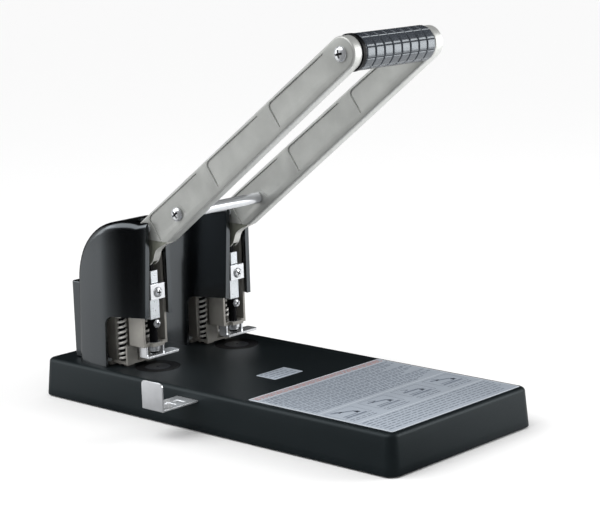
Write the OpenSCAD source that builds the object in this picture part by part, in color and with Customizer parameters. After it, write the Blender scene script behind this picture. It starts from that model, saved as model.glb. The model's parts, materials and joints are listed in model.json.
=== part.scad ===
// Heavy-duty two-hole office punch: a flat base with two hollow punches under a long forked handle.
// Frame: X to the right, Y to the rear, Z up. The origin is on the floor under the base's centre.

/* [Base] */
// Width of the base at its foot
base_w = 147; // [130:1:170]
// Length of the base at its foot, front to rear
base_l = 333; // [320:1:380]
// Height of the base housing
base_h = 27; // [24:1:34]
// How far each side wall leans in towards the top
base_lean = 2.5; // [1:0.5:4]
// Plan radius of the base's corners at the foot
base_corner_r = 8.5; // [7:0.5:14]
// Wall and top thickness of the base housing
base_wall = 3; // [2:0.5:4]
// How far the rubber feet stand proud of the base
foot_h = 1; // [0.5:0.5:3]

/* [Punches] */
// Distance between the two punched holes
hole_spacing = 80; // [70:1:90]
// Diameter of a punched hole
hole_d = 6; // [5:0.5:6.5]
// Distance of the holes from the edge of the paper
edge_distance = 11; // [11:0.5:13]
// Place of the row of holes, rearwards from the base's centre
punch_y = 81.5; // [75:0.5:85]
// Free height between the base and the stripper plate
throat_h = 7; // [5:0.1:8]
// Stroke of the punches
punch_travel = 9.6; // [8:0.1:9.8]
// Radius of the round cutting disc under each punch
disc_r = 9; // [8:0.5:10]
// How far the cutting disc's centre lies in front of the punch
disc_offset = 3; // [2:0.5:4]

/* [Handle] */
// Angle that the handle is pressed down through
handle_travel = 35; // [20:1:38]
// Slope of the raised arms above the horizontal
arm_angle = 37.07; // [35:0.01:39]
// Distance between the grip's axis and the tie rod's axis
arm_length = 192.7; // [180:0.1:205]
// Width of an arm, web to the edge of its flange
arm_depth = 8; // [7:0.5:9]
// Thickness of the arms' sheet steel
arm_sheet = 1.2; // [1:0.1:2]
// Radius of an arm's round upper end
arm_end_r = 11.2; // [10:0.1:13]
// Radius of the hand grip
grip_r = 12; // [10:0.5:13]
// Ring-shaped cells along the hand grip
grip_cells = 8; // [4:1:12]
// Radius of the rod that ties the two arms together
tie_rod_r = 4; // [2.5:0.5:5]

/* [Heads] */
// Half of a cover's width at its open front
cover_front_half = 14; // [13:0.5:16]
// Half of a cover's greatest width
cover_mid_half = 25.5; // [23:0.5:28]
// Half of a cover's width at the rear
cover_rear_half = 24.4; // [22:0.2:25]
// Wall thickness of a cover
cover_wall = 3; // [2:0.5:3.5]
// Outer half width of the folded steel head frame
frame_half = 11.4; // [10.5:0.1:12]
// Thickness of the head frame's steel
frame_sheet = 2; // [1.5:0.5:2]

/* [Paper gauge] */
// Distance of the gauge's stop from the middle of the base
gauge_reach = 104; // [80:1:140]
// Width of the gauge's bar and of its stop
gauge_w = 20; // [15:1:24]
// Height of the gauge's stop
gauge_stop_h = 19.5; // [14:0.5:24]
// Thickness of the gauge's steel
gauge_sheet = 1.2; // [0.8:0.1:1.6]

/* [Hidden] */
$fn = 64;
eps = 0.01;
running_fit = 0.05;      // radial clearance of every pin and slider
top_z = foot_h + base_h; // the base's working surface
sides = [-1, 1];

// Base
base_fillet = 1.5;
pan_sheet = 2;
foot_r = 7;
foot_at = concat([[0, 0]], [for (sx = sides, sy = sides) [sx * (base_w / 2 - 20), sy * (base_l / 2 - 22)]]);
label_sheet = 0.2;
label_size = [135, 124.4];
label_centre = [1.5, -98];
note_size = [28.6, 18.3];
note_centre = [-3.6, -6];

// Levels of the punching mechanism, floor upwards
seat_flange_r = 16;
seat_flange_h = 1;
seat_body_r = disc_r + 2;
disc_h = 3.5;
disc_y = punch_y - disc_offset;
stripper_z = top_z + throat_h;
stripper_sheet = 1.7;
punch_gap = 0.1;         // what the lowered punch leaves above its disc
punch_tip_z = top_z + punch_gap + punch_travel;
guide_z = 43.2;
guide_sheet = 2.5;
chuck_z = guide_z + guide_sheet + punch_travel + 0.6;
chuck_h = 6.5;
chuck_r = 4;
chuck_bore = 5;          // how far the punch reaches into its chuck
chuck_screw_z = 3.3;     // height of the clamp screw in the chuck
bar_size = [9, 5.6];      // width and depth of the slide bar
yoke_sheet = 3;
block_z = 77.3;
block_size = [13.4, 13, 11];
block_front = 6.5;       // front face of the clevis block ahead of the punch axis
yoke_z = block_z - yoke_sheet;
link_low = [punch_y, 84];

// Handle mechanism: the fulcrum and the pin that drives the link
lever_r = punch_travel / (2 * sin(handle_travel / 2));
link_top_z = 107.5;
fulcrum = [punch_y + lever_r * (1 + cos(handle_travel / 2)) / 2,
           link_top_z - lever_r * sin(handle_travel / 2)];
link_top = [fulcrum[0] - lever_r * cos(handle_travel / 2), link_top_z];
link_length = link_top[1] - link_low[1];
link_slack = 0.6;        // radial clearance of the link's lower eye
fulcrum_pin_r = 3;
link_pin_r = 2;
clevis_pin_r = 1.5;
lever_half = 3.2;
link_half = 1.5;
link_eye_r = 3.9;

// Arms: a channel whose web is on its left side
arm_left_x = -4.4;       // outer face of the web, from the head's centre
arm_right_x = arm_left_x + arm_depth;
tie_axis = [47.1, 141.3];
grip_axis = tie_axis + arm_length * [-cos(arm_angle), sin(arm_angle)];
arm_top_edge = [-arm_end_r, -16];   // distance above the axis at the grip and at the head
arm_low_edge = [arm_end_r, 10.2];   // distance below the axis at the grip and at the head
arm_run = 250;
arm_foot_z = 120.3;
panel_runs = [[12, 72.7], [83.4, 145.8], [156.4, 222]];
panel_depth = 0.5;
grip_x = [-hole_spacing / 2 + arm_right_x, hole_spacing / 2 + arm_left_x];
rod_x0 = -hole_spacing / 2 + arm_left_x + arm_sheet;
grip_bore_r = 5;
arm_screw_r = 2.5;
arm_screw_head_r = 4.4;
arm_screw_head_h = 2.2;

// Heads
cover_front_y = 75.3;
cover_mid_y = 105;
cover_rear_y = 137.3;
cover_rear_r = 6;
cover_arc_r = 45.3;
cover_arc_z = 88;
cover_top_slope = 14;
window_y = 105.5;
window_z = 65.3;
window_r = 5;
cap_half = 16;
cap_l = 11.2;
cap_z = 85;
cap_wall = 2.5;
leg_y = [79.5, 94.5];
leg_top_z = 76;
arch_z = 79;
arch_rear_y = 108.5;
frame_rear_y = 118;
frame_top_z = 116;
frame_foot_half = 17.5;
frame_foot_y = [108.5, 121];
frame_screw_at = [[-14.5, 114.5], [14.5, 114.5]];
stop_y = punch_y + edge_distance;
seat_plate_z = top_z + 1.9;
seat_plate_h = 1.5;
seat_plate_rear = 107.5;
stop_tab_z = guide_z - 0.2;
spring_at = [11.5, 101.5];
spring_r = 3.5;
spring_wire_r = 0.75;
spring_foot_z = seat_plate_z + seat_plate_h;
spring_pin_r = 2.4;

// Paper gauge
gauge_y = 16;
gauge_z = foot_h + 19.8;
gauge_bar_end = 36;
gauge_clear = 0.3;
channel_half_x = 66;
channel_sheet = 1.2;

// ---- helpers ----

// Puts a head's part over the left (-1) or the right (1) hole.
module at_head(side) {
    translate([side * hole_spacing / 2, 0, 0]) children();
}

// Extrudes a side view drawn in (Y, Z) from x0 to x1.
module side_view(x0, x1) {
    translate([x0, 0, 0]) rotate([90, 0, 90]) linear_extrude(x1 - x0) children();
}

// A cylinder along X, from x0 to x1, at a (Y, Z) place.
module x_pin(r, x0, x1, at) {
    translate([x0, at[0], at[1]]) rotate([0, 90, 0]) cylinder(h = x1 - x0, r = r);
}

// A cylinder along Z.
module z_pin(r, z0, z1, at) {
    translate([at[0], at[1], z0]) cylinder(h = z1 - z0, r = r);
}

// A cross-slot screw. Its head sits on z = 0 and its shank hangs below.
module cross_screw(head_r, head_h, shank_r, shank_l) {
    slot_w = head_r * 0.26;
    slot_l = head_r * 1.25;
    difference() {
        union() {
            cylinder(h = head_h * 0.6, r = head_r);
            translate([0, 0, head_h * 0.6]) cylinder(h = head_h * 0.4, r1 = head_r, r2 = head_r * 0.68);
            translate([0, 0, -shank_l]) cylinder(h = shank_l, r = shank_r);
        }
        for (turn = [0, 90]) rotate([0, 0, turn])
            translate([-slot_l / 2, -slot_w / 2, head_h * 0.45]) cube([slot_l, slot_w, head_h]);
    }
}

// The base's block: upright sides that lean in, round corners and a rounded top edge.
module drafted_block(inset, z0, z1, fillet) {
    h = z1 - z0;
    r0 = base_corner_r - inset;
    r1 = r0 - base_lean * h / base_h;
    cx = base_w / 2 - base_corner_r;
    cy = base_l / 2 - base_corner_r;
    profile = concat([[0, 0], [r0, 0]],
        [for (a = [0:22.5:90]) [r1 - fillet + fillet * cos(a), h - fillet + fillet * sin(a)]],
        [[0, h]]);
    hull() for (sx = sides, sy = sides)
        translate([sx * cx, sy * cy, z0]) rotate_extrude($fn = 32) polygon(profile);
}

// ---- base ----

module base_housing() {
    slot_gap = gauge_clear;
    color([0.16, 0.18, 0.2]) difference() {
        drafted_block(0, foot_h, top_z, base_fillet);
        drafted_block(base_wall, foot_h - eps, top_z - base_wall, 0.5);
        for (side = sides) at_head(side) {
            z_pin(seat_flange_r, top_z - seat_flange_h, top_z + eps, [0, disc_y]);
            z_pin(seat_body_r, top_z - base_wall - eps, top_z, [0, disc_y]);
            for (at = frame_screw_at) z_pin(1.8, top_z - base_wall - eps, top_z + eps, at);
        }
        translate([-base_w / 2 - eps, gauge_y - gauge_w / 2 - slot_gap, gauge_z - slot_gap])
            cube([base_wall * 3, gauge_w + 2 * slot_gap, gauge_sheet + 2 * slot_gap]);
    }
}

module base_pan() {
    gap = 0.2;
    color([0.12, 0.13, 0.14]) difference() {
        drafted_block(base_wall + gap, foot_h, foot_h + pan_sheet, 0.2);
        for (at = foot_at) z_pin(foot_r, foot_h - eps, foot_h + pan_sheet / 2, at);
    }
}

module rubber_feet() {
    color([0.08, 0.08, 0.08]) for (at = foot_at) z_pin(foot_r, 0, foot_h + pan_sheet / 2, at);
}

module label(size, centre) {
    color([0.76, 0.79, 0.83]) translate([centre[0] - size[0] / 2, centre[1] - size[1] / 2, top_z])
        cube([size[0], size[1], label_sheet]);
}

// ---- paper gauge ----

// A folded channel under the base's top that the gauge's bar slides in.
module gauge_channel() {
    z0 = gauge_z - gauge_clear - channel_sheet;
    inner_w = gauge_w + 2 * gauge_clear;
    color([0.62, 0.64, 0.66]) difference() {
        translate([-channel_half_x, gauge_y - inner_w / 2 - channel_sheet, z0])
            cube([2 * channel_half_x, inner_w + 2 * channel_sheet, top_z - base_wall - z0]);
        translate([-channel_half_x - eps, gauge_y - inner_w / 2, z0 + channel_sheet])
            cube([2 * channel_half_x + 2 * eps, inner_w, top_z]);
    }
}

module paper_gauge() {
    corner_r = 3;
    color([0.86, 0.87, 0.89]) {
        difference() {
            translate([-gauge_reach, gauge_y - gauge_w / 2, gauge_z])
                cube([gauge_reach + gauge_bar_end, gauge_w, gauge_sheet]);
            for (x = [-gauge_reach + 13, -gauge_reach + 21])
                translate([x, gauge_y - 5, gauge_z + gauge_sheet - 0.4]) cube([4.5, 8, 1]);
        }
        translate([-gauge_reach, gauge_y, gauge_z]) rotate([90, 0, 90]) linear_extrude(gauge_sheet) union() {
            translate([-gauge_w / 2, 0]) square([gauge_w, gauge_stop_h - corner_r]);
            translate([-gauge_w / 2 + corner_r, 0]) square([gauge_w - 2 * corner_r, gauge_stop_h]);
            for (sy = sides)
                translate([sy * (gauge_w / 2 - corner_r), gauge_stop_h - corner_r]) circle(corner_r);
        }
    }
}

// ---- heads: what stands still ----

// One folded steel frame: two side plates that arch over the springs, a rear web, a foot
// plate, and a guide plate whose nose reaches round the punch.
module head_frame(side) {
    plate = [[leg_y[0], guide_z], [leg_y[1], guide_z], [leg_y[1], arch_z], [arch_rear_y, arch_z],
             [arch_rear_y, top_z], [frame_rear_y, top_z], [frame_rear_y, 106],
             [frame_rear_y - 8, frame_top_z], [88, frame_top_z], [81, 108], [81, leg_top_z],
             [leg_y[0], leg_top_z]];
    nose_half = 5.5;
    nose_y = punch_y - 5.4;
    at_head(side) color([0.72, 0.72, 0.7]) difference() {
        union() {
            for (sx = sides) side_view(sx > 0 ? frame_half - frame_sheet : -frame_half,
                                       sx > 0 ? frame_half : frame_sheet - frame_half) polygon(plate);
            translate([-frame_half, frame_rear_y - frame_sheet, top_z])
                cube([2 * frame_half, frame_sheet, 76]);
            translate([-frame_foot_half, frame_foot_y[0], top_z])
                cube([2 * frame_foot_half, frame_foot_y[1] - frame_foot_y[0], frame_sheet]);
            translate([-frame_half, leg_y[0], guide_z])
                cube([2 * frame_half, leg_y[1] - leg_y[0], guide_sheet]);
            translate([-nose_half, nose_y, guide_z])
                cube([2 * nose_half, leg_y[0] - nose_y + eps, guide_sheet]);
        }
        x_pin(fulcrum_pin_r, -frame_half - eps, frame_half + eps, fulcrum);
        z_pin(hole_d / 2 + 1.7, guide_z - eps, guide_z + guide_sheet + eps, [0, punch_y]);
        for (at = frame_screw_at) z_pin(1.8, top_z - eps, top_z + frame_sheet + eps, at);
    }
}

module frame_screws() {
    color([0.7, 0.7, 0.68]) for (side = sides) at_head(side) for (at = frame_screw_at)
        translate([at[0], at[1], top_z + frame_sheet]) cross_screw(2.9, 1.6, 1.8, 7);
}

// The plate that carries the springs. Its two front tabs stop the edge of the paper.
module paper_stop(side) {
    plate_half = 16;
    at_head(side) color([0.78, 0.78, 0.76]) difference() {
        union() {
            translate([-plate_half, stop_y, seat_plate_z])
                cube([2 * plate_half, seat_plate_rear - stop_y, seat_plate_h]);
            for (sx = sides) {
                translate([sx > 0 ? 6 : -plate_half, stop_y, seat_plate_z])
                    cube([plate_half - 6, seat_plate_h, stop_tab_z - seat_plate_z]);
                translate([sx > 0 ? 6 : -13, stop_y + 4, top_z]) cube([7, 9, seat_plate_z - top_z + eps]);
            }
        }
        for (sx = sides)
            z_pin(spring_pin_r, top_z - eps, spring_foot_z + eps, [sx * spring_at[0], spring_at[1]]);
    }
}

module spring_pins(side) {
    at_head(side) color([0.66, 0.66, 0.66]) for (sx = sides)
        z_pin(spring_pin_r, top_z, yoke_z - punch_travel - 0.8, [sx * spring_at[0], spring_at[1]]);
}

// Each return spring is kept as the sleeve that its coil fills.
module return_springs(side) {
    at_head(side) color([0.85, 0.85, 0.85]) for (sx = sides) difference() {
        z_pin(spring_r, spring_foot_z, yoke_z, [sx * spring_at[0], spring_at[1]]);
        z_pin(spring_r - 2 * spring_wire_r + 0.6, spring_foot_z - eps, yoke_z + eps,
              [sx * spring_at[0], spring_at[1]]);
    }
}

module punch_bush(side) {
    bush_r = hole_d / 2 + 1.7;
    at_head(side) color([0.85, 0.84, 0.8]) difference() {
        union() {
            z_pin(bush_r, guide_z - 2.6, guide_z + guide_sheet, [0, punch_y]);
            z_pin(bush_r - 0.7, guide_z - 4.2, guide_z - 2.6, [0, punch_y]);
        }
        z_pin(hole_d / 2 + running_fit, guide_z - 5, guide_z + guide_sheet + eps, [0, punch_y]);
    }
}

// A bent strip under the guide plate that strips the paper off the punch. Its right end
// runs on as a tongue that guides the sheets in.
module stripper(side) {
    strip_x = [-9.1, 21.2];
    strip_y = [punch_y - 4.7, punch_y + 5.5];
    post_x = [-9.1, 6.6];
    tongue_r = 2;
    at_head(side) color([0.88, 0.88, 0.86]) difference() {
        union() {
            translate([strip_x[0], strip_y[0], stripper_z])
                cube([strip_x[1] - strip_x[0] - tongue_r, strip_y[1] - strip_y[0], stripper_sheet]);
            translate([strip_x[0], strip_y[0] + tongue_r, stripper_z])
                cube([strip_x[1] - strip_x[0], strip_y[1] - strip_y[0] - 2 * tongue_r, stripper_sheet]);
            for (y = [strip_y[0] + tongue_r, strip_y[1] - tongue_r])
                z_pin(tongue_r, stripper_z, stripper_z + stripper_sheet, [strip_x[1] - tongue_r, y]);
            for (x = post_x) translate([x, leg_y[0], stripper_z])
                cube([1.5, strip_y[1] - leg_y[0], guide_z - stripper_z]);
        }
        z_pin(hole_d / 2 + 0.4, stripper_z - eps, stripper_z + stripper_sheet + eps, [0, punch_y]);
    }
}

// The flanged cup in the base's top that the cutting disc lies in.
module disc_seat(side) {
    floor_h = 1.2;
    at_head(side) color([0.05, 0.05, 0.06]) difference() {
        union() {
            z_pin(seat_flange_r, top_z - seat_flange_h, top_z, [0, disc_y]);
            z_pin(seat_body_r, top_z - disc_h - floor_h, top_z - seat_flange_h, [0, disc_y]);
        }
        z_pin(disc_r + 2 * running_fit, top_z - disc_h - running_fit, top_z + eps, [0, disc_y]);
    }
}

module cutting_disc(side) {
    at_head(side) color([0.3, 0.32, 0.34]) difference() {
        z_pin(disc_r, top_z - disc_h, top_z, [0, disc_y]);
        z_pin(1.2, top_z - 1, top_z + eps, [0, disc_y]);
    }
}

// ---- covers ----

// Plan of a cover, drawn in by an inset: narrow at its open front, widest amidships.
module cover_plan(inset) {
    mid_r = 14 - inset;
    rear_r = cover_rear_r - inset;
    front_r = 3.5 - inset;
    hull() for (sx = sides) {
        translate([sx * (cover_front_half - 3.5), cover_front_y + 3.5]) circle(front_r, $fn = 24);
        translate([sx * (cover_mid_half - 14), cover_mid_y]) circle(mid_r, $fn = 48);
        translate([sx * (cover_rear_half - cover_rear_r), cover_rear_y - cover_rear_r])
            circle(rear_r, $fn = 32);
    }
}

// Side view of a cover: an upright back, a large arc and a top that rises to the front.
module cover_profile(inset) {
    arc_y = cover_rear_y - cover_arc_r;
    r = cover_arc_r - inset;
    tip_y = cover_front_y - 6;
    tip_z = cover_arc_z + r / cos(cover_top_slope) + (arc_y - tip_y) * tan(cover_top_slope);
    polygon(concat([[tip_y, 0], [arc_y + r, 0]],
        [for (a = [0:4:88 - cover_top_slope]) [arc_y + r * cos(a), cover_arc_z + r * sin(a)]],
        [[tip_y, tip_z]]));
}

module cover(side) {
    slot_half = 7;
    opening_half = cover_front_half - cover_wall;
    at_head(side) color([0.13, 0.15, 0.17]) difference() {
        intersection() {
            translate([0, 0, top_z]) linear_extrude(130) cover_plan(0);
            side_view(-40, 40) cover_profile(0);
        }
        intersection() {
            translate([0, 0, top_z - eps]) linear_extrude(130) cover_plan(cover_wall);
            side_view(-40, 40) cover_profile(cover_wall);
        }
        // open front, from the base to the top
        translate([-opening_half, cover_front_y - 10, top_z - 1]) cube([2 * opening_half, 14, 130]);
        // slot in the top that lets the raised arm through
        translate([-slot_half, cover_front_y - 10, 110]) cube([2 * slot_half, 24, 60]);
        // window over the spring, open to the front, on both sides
        side_view(-40, 40) difference() {
            translate([cover_front_y - 10, top_z - 1])
                square([window_y - cover_front_y + 10, window_z - top_z + 1]);
            translate([window_y - window_r, window_z - window_r]) difference() {
                square([window_r + 1, window_r + 1]);
                circle(window_r);
            }
        }
    }
}

module rear_cap(side) {
    at_head(side) color([0.15, 0.17, 0.19]) difference() {
        translate([-cap_half, cover_rear_y, top_z]) cube([2 * cap_half, cap_l, cap_z - top_z]);
        translate([cap_wall - cap_half, cover_rear_y - eps, top_z - eps])
            cube([2 * (cap_half - cap_wall), cap_l - cap_wall, cap_z - top_z - cap_wall]);
    }
}

module fulcrum_pin(side) {
    at_head(side) color([0.8, 0.8, 0.8]) {
        x_pin(fulcrum_pin_r, -frame_half - 1.5, frame_half, fulcrum);
        x_pin(fulcrum_pin_r + 1.2, frame_half, frame_half + 1.5, fulcrum);
    }
}

// ---- handle ----

// A point of an arm: run is the distance from the grip, drop is how far it lies below the axis.
function arm_point(run, drop) = grip_axis + run * [cos(arm_angle), -sin(arm_angle)]
                                          + drop * [-sin(arm_angle), -cos(arm_angle)];

// Body of an arm from x0 to x1, drawn in by an inset. Its foot is cut level.
module arm_body(inset, x0, x1) {
    side_view(x0, x1) intersection() {
        polygon([arm_point(0, arm_top_edge[0] + inset), arm_point(arm_run, arm_top_edge[1] + inset),
                 arm_point(arm_run, arm_low_edge[1] - inset), arm_point(0, arm_low_edge[0] - inset)]);
        translate([-200, arm_foot_z]) square([320, 300]);
    }
    x_pin(arm_end_r - inset, x0, x1, grip_axis);
}

// A pressed panel, sunk in the web between two runs.
module arm_panel(runs) {
    top = -8;
    low = 7.2;
    polygon([arm_point(runs[0], top - runs[0] / 50), arm_point(runs[1], top - runs[1] / 50),
             arm_point(runs[1], low), arm_point(runs[0], low)]);
}

module arm(side) {
    at_head(side) color([0.72, 0.72, 0.7]) difference() {
        arm_body(0, arm_left_x, arm_right_x);
        arm_body(arm_sheet, arm_left_x + arm_sheet, arm_right_x + eps);
        for (axis = [grip_axis, tie_axis]) x_pin(arm_screw_r, arm_left_x - eps, arm_left_x + 2, axis);
        for (runs = panel_runs) side_view(arm_left_x - eps, arm_left_x + panel_depth) intersection() {
            arm_panel(runs);
            translate([-200, arm_foot_z + 2]) square([320, 300]);
        }
        for (at = rivet_at) x_pin(1.6, arm_left_x - eps, arm_left_x + 2, at);
    }
}

rivet_at = [arm_point(225, -8), arm_point(235, -10)];

// The steel lever that an arm is riveted to. Its nose is forked round the link's upper eye.
module lever(side) {
    outline = [[59.5, 119], [62, 124], arm_point(200, 2), arm_point(212, -9), arm_point(238, -13),
               fulcrum + [8, 12], fulcrum + [8.5, 0], fulcrum + [0, -8], link_top + [0, -6.5],
               [77.3, 102.8], [74.2, 107], [72.4, 112.6], [66, 116.8]];
    fork_half = link_half + 0.15;
    fork_r = link_eye_r + 6;
    at_head(side) color([0.55, 0.55, 0.53]) difference() {
        union() {
            side_view(-lever_half, lever_half) polygon(outline);
            x_pin(8.5, -lever_half, lever_half, fulcrum);
            x_pin(6.5, -lever_half, lever_half, link_top);
        }
        intersection() {
            x_pin(fork_r, -fork_half, fork_half, link_top);
            translate([-10, 0, 0]) cube([20, link_top[0] + 5.5, link_top[1] + 20]);
        }
        for (at = rivet_at) x_pin(1.6, -lever_half - eps, lever_half + eps, at);
        x_pin(fulcrum_pin_r + running_fit, -10, 10, fulcrum);
        x_pin(link_pin_r, -10, 10, link_top);
    }
}

module lever_rivets() {
    color([0.78, 0.78, 0.76]) for (side = sides) at_head(side) for (at = rivet_at) {
        x_pin(1.6, arm_left_x, lever_half, at);
        x_pin(2.8, arm_left_x - 0.8, arm_left_x, at);
    }
}

// Rubber grip with a plain collar and ring grooves between its cells.
module grip_sleeve() {
    collar = 4;
    groove_w = 1;
    groove_depth = 0.7;
    length = grip_x[1] - grip_x[0];
    pitch = (length - collar) / grip_cells;
    color([0.14, 0.14, 0.16]) difference() {
        x_pin(grip_r, grip_x[0], grip_x[1], grip_axis);
        x_pin(grip_bore_r, grip_x[0] - eps, grip_x[1] + eps, grip_axis);
        for (i = [0:grip_cells - 1]) difference() {
            x_pin(grip_r + 1, grip_x[0] + collar + i * pitch - groove_w / 2,
                  grip_x[0] + collar + i * pitch + groove_w / 2, grip_axis);
            x_pin(grip_r - groove_depth, grip_x[0] - eps, grip_x[1] + eps, grip_axis);
        }
    }
}

// A rod between the two arms, bored at both ends for its screws.
module cross_rod(r, axis) {
    bore_l = 12;
    difference() {
        x_pin(r, rod_x0, grip_x[1], axis);
        x_pin(arm_screw_r, rod_x0 - eps, rod_x0 + bore_l, axis);
        x_pin(arm_screw_r, grip_x[1] - bore_l, grip_x[1] + eps, axis);
    }
}

module arm_screws() {
    shank = 11;
    color([0.82, 0.82, 0.82]) for (axis = [grip_axis, tie_axis]) {
        translate([-hole_spacing / 2 + arm_left_x, axis[0], axis[1]]) rotate([0, -90, 0])
            cross_screw(arm_screw_head_r, arm_screw_head_h, arm_screw_r, shank);
        translate([hole_spacing / 2 + arm_left_x + arm_sheet, axis[0], axis[1]]) rotate([0, 90, 0])
            cross_screw(arm_screw_head_r, arm_screw_head_h, arm_screw_r, shank);
    }
}

module link_pin(side) {
    at_head(side) color([0.8, 0.8, 0.8]) x_pin(link_pin_r, -lever_half, lever_half, link_top);
}

// ---- links and punch carriages ----

module link(side) {
    low = [link_top[0], link_top[1] - link_length];
    shank_z = [low[1] + 5.6, link_top[1] - 9.6];
    at_head(side) color([0.8, 0.82, 0.84]) difference() {
        union() {
            for (at = [low, link_top]) x_pin(link_eye_r, -link_half, link_half, at);
            translate([-link_half, link_top[0] - 2.4, low[1]]) cube([2 * link_half, 4.8, link_length]);
            z_pin(2.6, shank_z[0], shank_z[1], [0, link_top[0]]);
        }
        x_pin(link_pin_r + running_fit, -link_half - eps, link_half + eps, link_top);
        x_pin(clevis_pin_r + link_slack, -link_half - eps, link_half + eps, low);
    }
}

module clevis_block(side) {
    slot_half = link_half + 0.15;
    at_head(side) color([0.88, 0.88, 0.87]) difference() {
        translate([-block_size[0] / 2, punch_y - block_front, block_z]) cube(block_size);
        translate([-slot_half, link_low[0] - link_eye_r - 0.6, link_low[1] - link_eye_r - 0.6])
            cube([2 * slot_half, 20, 20]);
        x_pin(clevis_pin_r, -10, 10, link_low);
        translate([0, punch_y - block_front - eps, block_z + 5]) rotate([-90, 0, 0])
            cylinder(h = 0.3 + eps, r = 1.5);
    }
}

module clevis_pin(side) {
    half = block_size[0] / 2;
    at_head(side) color([0.8, 0.8, 0.8]) x_pin(clevis_pin_r, -half, half, link_low);
}

// A T-shaped plate fixed behind the slide bar. The springs push its cross bar up.
module spring_yoke(side) {
    bar = [[-15.5, 95.6], [15.5, 107.4]];
    stem_half = 4.6;
    stem_y = punch_y + bar_size[1] / 2;
    at_head(side) color([0.6, 0.6, 0.6]) {
            translate([-stem_half, stem_y, yoke_z])
                cube([2 * stem_half, bar[0][1] - stem_y + eps, yoke_sheet]);
            translate([bar[0][0], bar[0][1], yoke_z])
                cube([bar[1][0] - bar[0][0], bar[1][1] - bar[0][1], yoke_sheet]);
    }
}

module slide_bar(side) {
    at_head(side) color([0.86, 0.89, 0.91])
        translate([-bar_size[0] / 2, punch_y - bar_size[1] / 2, chuck_z + chuck_h])
            cube([bar_size[0], bar_size[1], block_z - chuck_z - chuck_h]);
}

module punch_chuck(side) {
    at_head(side) color([0.08, 0.08, 0.09]) difference() {
        z_pin(chuck_r, chuck_z, chuck_z + chuck_h, [0, punch_y]);
        z_pin(hole_d / 2, chuck_z - eps, chuck_z + chuck_bore, [0, punch_y]);
        translate([0, punch_y - chuck_r - eps, chuck_z + chuck_screw_z])
            rotate([-90, 0, 0]) cylinder(h = 1.5, r = 1.5);
    }
}

module hollow_punch(side) {
    bore_r = hole_d / 2 - 0.7;
    at_head(side) color([0.25, 0.25, 0.27]) difference() {
        z_pin(hole_d / 2, punch_tip_z, chuck_z + chuck_bore, [0, punch_y]);
        z_pin(bore_r, punch_tip_z - eps, chuck_z + chuck_bore - 2, [0, punch_y]);
    }
}

module carriage_screws(side) {
    at_head(side) color([0.84, 0.84, 0.84]) {
        translate([0, punch_y - block_front, block_z + 5]) rotate([90, 0, 0])
            cross_screw(3.6, 1.6, 1.5, 0.3);
        translate([0, punch_y - chuck_r, chuck_z + chuck_screw_z])
            rotate([90, 0, 0]) cross_screw(3.2, 1.6, 1.5, 0.9);
    }
}

// ---- drawing ----

base_housing();
base_pan();
rubber_feet();
label(label_size, label_centre);  // instruction_label
label(note_size, note_centre);  // note_label
gauge_channel();
paper_gauge();
head_frame(-1);  // head_frame_left
head_frame(1);  // head_frame_right
frame_screws();
paper_stop(-1);  // paper_stop_left
paper_stop(1);  // paper_stop_right
spring_pins(-1);  // spring_pins_left
spring_pins(1);  // spring_pins_right
return_springs(-1);  // return_springs_left
return_springs(1);  // return_springs_right
punch_bush(-1);  // punch_bush_left
punch_bush(1);  // punch_bush_right
stripper(-1);  // stripper_left
stripper(1);  // stripper_right
disc_seat(-1);  // disc_seat_left
disc_seat(1);  // disc_seat_right
cutting_disc(-1);  // cutting_disc_left
cutting_disc(1);  // cutting_disc_right
cover(-1);  // cover_left
cover(1);  // cover_right
rear_cap(-1);  // rear_cap_left
rear_cap(1);  // rear_cap_right
fulcrum_pin(-1);  // fulcrum_pin_left
fulcrum_pin(1);  // fulcrum_pin_right
arm(-1);  // arm_left
arm(1);  // arm_right
lever(-1);  // lever_left
lever(1);  // lever_right
lever_rivets();
grip_sleeve();
color([0.7, 0.7, 0.7]) cross_rod(grip_bore_r, grip_axis);  // grip_rod
color([0.9, 0.89, 0.85]) cross_rod(tie_rod_r, tie_axis);  // tie_rod
arm_screws();
link_pin(-1);  // link_pin_left
link_pin(1);  // link_pin_right
link(-1);  // link_left
link(1);  // link_right
clevis_block(-1);  // clevis_block_left
clevis_block(1);  // clevis_block_right
clevis_pin(-1);  // clevis_pin_left
clevis_pin(1);  // clevis_pin_right
spring_yoke(-1);  // spring_yoke_left
spring_yoke(1);  // spring_yoke_right
slide_bar(-1);  // slide_bar_left
slide_bar(1);  // slide_bar_right
punch_chuck(-1);  // punch_chuck_left
punch_chuck(1);  // punch_chuck_right
hollow_punch(-1);  // hollow_punch_left
hollow_punch(1);  // hollow_punch_right
carriage_screws(-1);  // carriage_screws_left
carriage_screws(1);  // carriage_screws_right
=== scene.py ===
import json
import math
import random

import bmesh
import bpy
from mathutils import Matrix, Vector


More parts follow.
